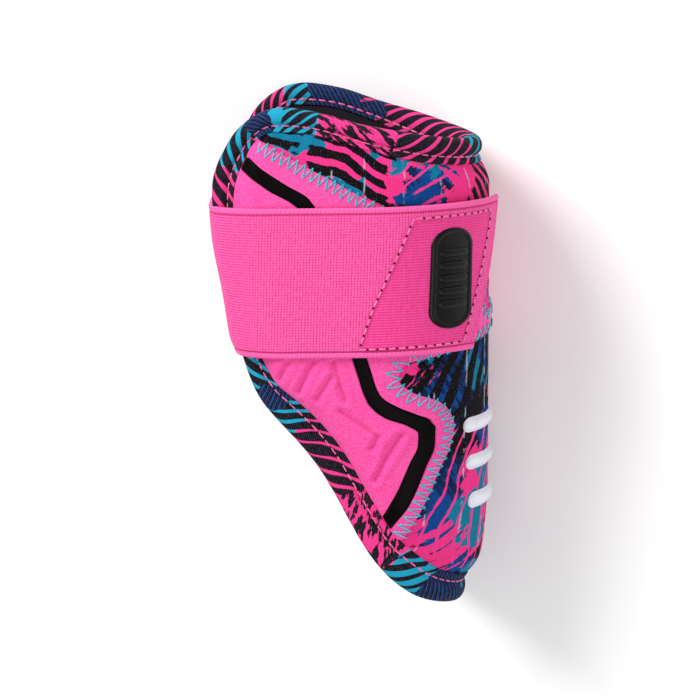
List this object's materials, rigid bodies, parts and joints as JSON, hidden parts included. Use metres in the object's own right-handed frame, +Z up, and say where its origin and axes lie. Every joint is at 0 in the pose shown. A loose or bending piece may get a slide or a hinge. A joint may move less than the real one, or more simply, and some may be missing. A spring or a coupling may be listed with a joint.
{
  "type": "elbow guard",
  "caption": "Padded elbow guard: curved foam shell with rolled edge, two-lobed side panel, wide elastic strap round the open side and moulded trims.",
  "frame": {"origin": "middle of the bounds, on the floor that the guard lies on", "axes": "+Y up the arm from the tongue to the wings, +X towards the spine that covers the point of the elbow, +Z up from the floor"},
  "size_m": [0.127, 0.218, 0.1152],
  "materials": {
    "knit": "printed knit",
    "lining_cloth": "matte",
    "binding_cloth": "woven twill",
    "suede": "soft nap",
    "black_band": "smooth",
    "elastic": "woven elastic",
    "hook_tape": "hook tape",
    "black_grip": "satin",
    "white_moulding": "satin"
  },
  "bodies": {
    "root": {"pad": "knit", "lining": "lining_cloth", "edge_binding": "binding_cloth", "side_panel": "suede", "inlay_near": "black_band", "inlay_far": "black_band", "strap": "elastic", "hook_patch": "hook_tape", "strap_grip": "black_grip", "spine_rib_1": "white_moulding", "spine_rib_2": "white_moulding", "spine_rib_3": "white_moulding"}
  },
  "joints": []
}
